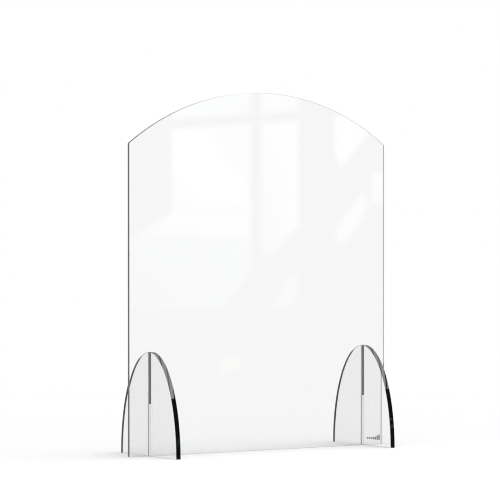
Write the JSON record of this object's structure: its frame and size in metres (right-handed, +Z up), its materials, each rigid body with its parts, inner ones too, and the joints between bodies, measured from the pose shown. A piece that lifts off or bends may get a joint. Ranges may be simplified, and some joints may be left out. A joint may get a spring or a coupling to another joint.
{
  "type": "desk privacy panel",
  "caption": "Free-standing clear acrylic desk screen with an arched top, held upright by half-ellipse cross feet that slot into its bottom edge.",
  "frame": {"origin": "on the desk, under the middle of the panel", "axes": "+Z up, +X along the panel's width, -Y towards the person it faces"},
  "size_m": [0.6, 0.2, 0.7],
  "materials": {
    "panel_acrylic": "polished",
    "foot_acrylic": "polished"
  },
  "bodies": {
    "left_foot": {"left_foot": "foot_acrylic"},
    "panel": {"panel": "panel_acrylic"},
    "right_foot": {"right_foot": "foot_acrylic"}
  },
  "joints": [
    {"name": "panel_lift", "type": "slide", "parent": "left_foot", "child": "panel", "axis": [0, 0, 1], "range_m": [0, 0.205]},
    {"name": "right_foot_release", "type": "slide", "parent": "panel", "child": "right_foot", "axis": [0, 0, -1], "range_m": [0, 0.205]}
  ],
  "couplings": [
    {"joint": "right_foot_release", "follows": "panel_lift", "ratio": 1}
  ]
}
